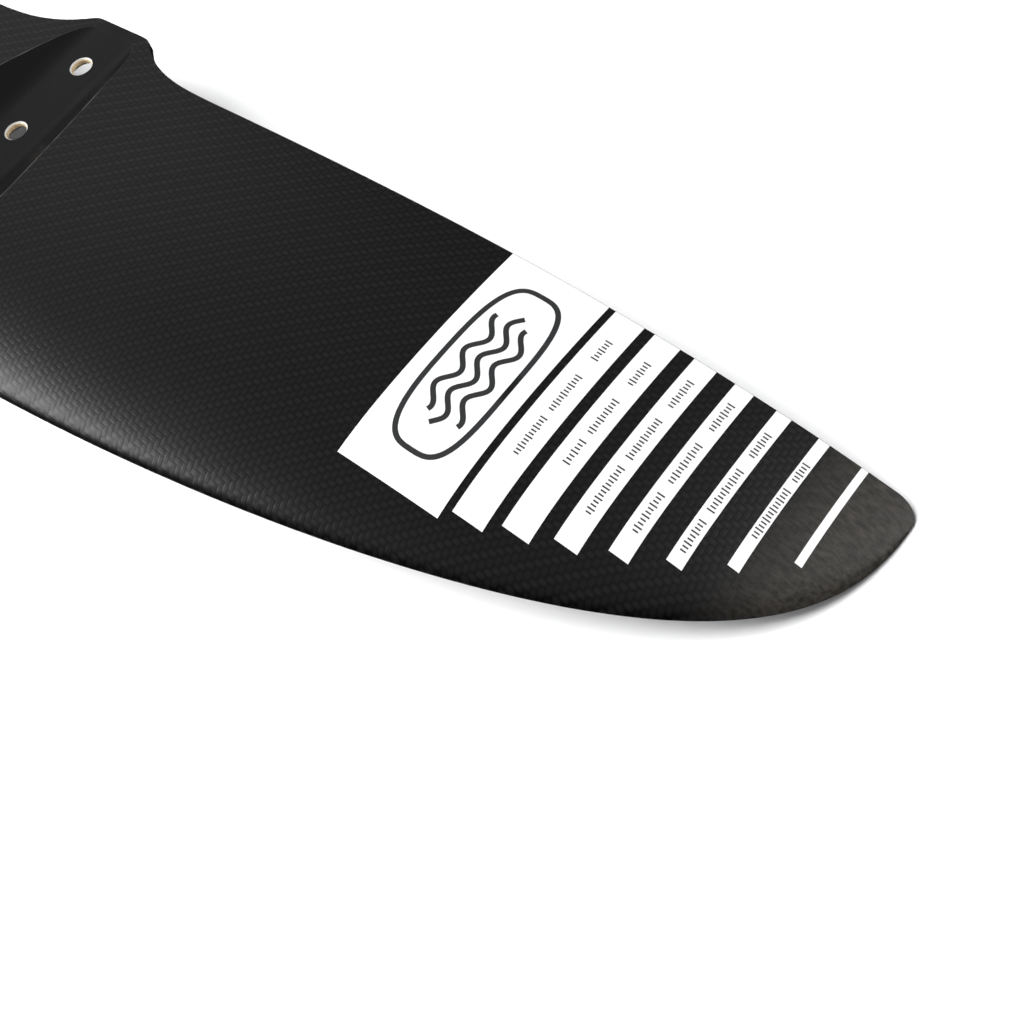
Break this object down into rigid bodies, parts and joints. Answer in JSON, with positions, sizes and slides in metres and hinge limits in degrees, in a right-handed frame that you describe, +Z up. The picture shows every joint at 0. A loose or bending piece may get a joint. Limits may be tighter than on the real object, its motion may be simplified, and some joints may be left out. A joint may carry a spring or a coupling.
{
  "type": "hydrofoil front wing",
  "caption": "Moulded carbon hydrofoil front wing with drooped tips, a foam core, a screw-down fuselage seat and printed bands on its upper face.",
  "frame": {"origin": "on the fuselage seat's floor, midway between the two screw holes", "axes": "+X along the span, -Y towards the leading edge, +Z up out of the fuselage seat"},
  "size_m": [0.8092, 0.1714, 0.0632],
  "materials": {
    "carbon_skin": "satin clear coat over twill carbon",
    "seat_carbon": "satin moulded",
    "glass_epoxy": "machined glass-epoxy laminate",
    "carbon_roving": "cured tow",
    "carbon_tip": "brushed satin",
    "foam": "closed-cell foam",
    "white_film": "satin printed film"
  },
  "bodies": {
    "root": {"upper_skin": "carbon_skin", "lower_skin": "carbon_skin", "seat_liner": "seat_carbon", "mount_block": "glass_epoxy", "nose_filler": "carbon_roving", "front_core_left": "foam", "rear_core_left": "foam", "shear_web_left": "carbon_roving", "upper_spar_cap_left": "carbon_roving", "lower_spar_cap_left": "carbon_roving", "trailing_edge_filler_left": "carbon_roving", "tip_block_left": "carbon_tip", "graphic_panel_left": "white_film", "graphic_band_1_left": "white_film", "graphic_band_2_left": "white_film", "graphic_band_3_left": "white_film", "graphic_band_4_left": "white_film", "graphic_band_5_left": "white_film", "graphic_band_6_left": "white_film", "graphic_band_7_left": "white_film", "front_core_right": "foam", "rear_core_right": "foam", "shear_web_right": "carbon_roving", "upper_spar_cap_right": "carbon_roving", "lower_spar_cap_right": "carbon_roving", "trailing_edge_filler_right": "carbon_roving", "tip_block_right": "carbon_tip", "graphic_panel_right": "white_film", "graphic_band_1_right": "white_film", "graphic_band_2_right": "white_film", "graphic_band_3_right": "white_film", "graphic_band_4_right": "white_film", "graphic_band_5_right": "white_film", "graphic_band_6_right": "white_film", "graphic_band_7_right": "white_film"}
  },
  "joints": []
}
